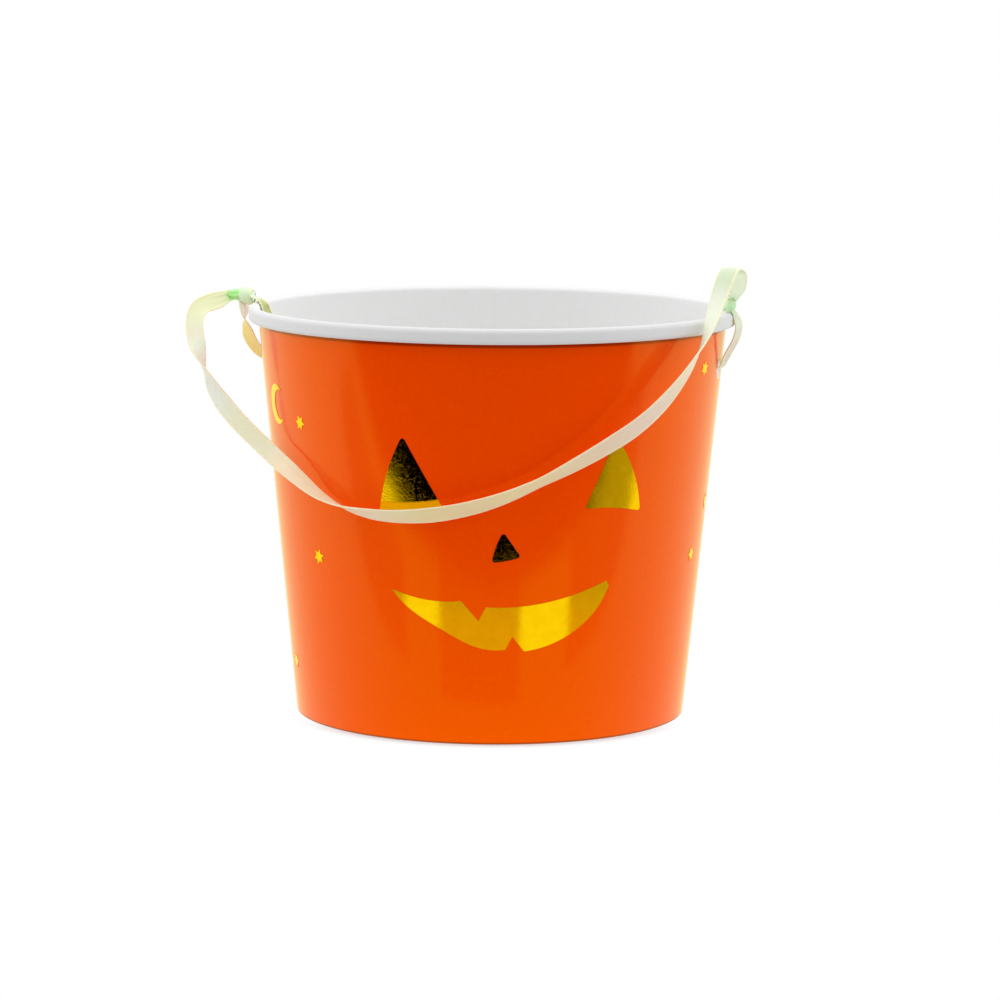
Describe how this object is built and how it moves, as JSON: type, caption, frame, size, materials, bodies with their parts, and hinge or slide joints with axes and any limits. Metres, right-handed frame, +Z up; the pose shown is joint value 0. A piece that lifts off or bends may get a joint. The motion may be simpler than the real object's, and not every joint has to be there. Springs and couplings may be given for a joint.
{
  "type": "candy pail",
  "caption": "Tapered paper candy pail with a rolled white rim, a pumpkin face and stars in gold foil, and a swinging ribbon handle knotted through two holes.",
  "frame": {"origin": "centre of the foot ring, on the surface the pail stands on", "axes": "+Z up along the pail's axis, -Y towards the face, +X to the right of someone who looks at the face"},
  "size_m": [0.1893, 0.165, 0.1539],
  "materials": {
    "printed_board": "glossy printed outside, white inside and on the rim",
    "white_board": "smooth white",
    "gold_foil": "bright hot-stamped foil",
    "satin_ribbon": "satin, cream to pale mint"
  },
  "bodies": {
    "pail": {"sidewall": "printed_board", "base_disc": "white_board", "left_eye_foil": "gold_foil", "right_eye_foil": "gold_foil", "nose_foil": "gold_foil", "mouth_foil": "gold_foil", "star_foils": "gold_foil", "moon_foils": "gold_foil", "left_loop": "satin_ribbon", "right_loop": "satin_ribbon", "left_knot": "satin_ribbon", "right_knot": "satin_ribbon"},
    "handle": {"handle_ribbon": "satin_ribbon"}
  },
  "joints": [
    {"name": "handle_swing", "type": "hinge", "parent": "pail", "child": "handle", "pos_m": [0, 0, 0.1404], "axis": [-0.9781, 0.2079, 0], "range_deg": [0, 130]}
  ]
}
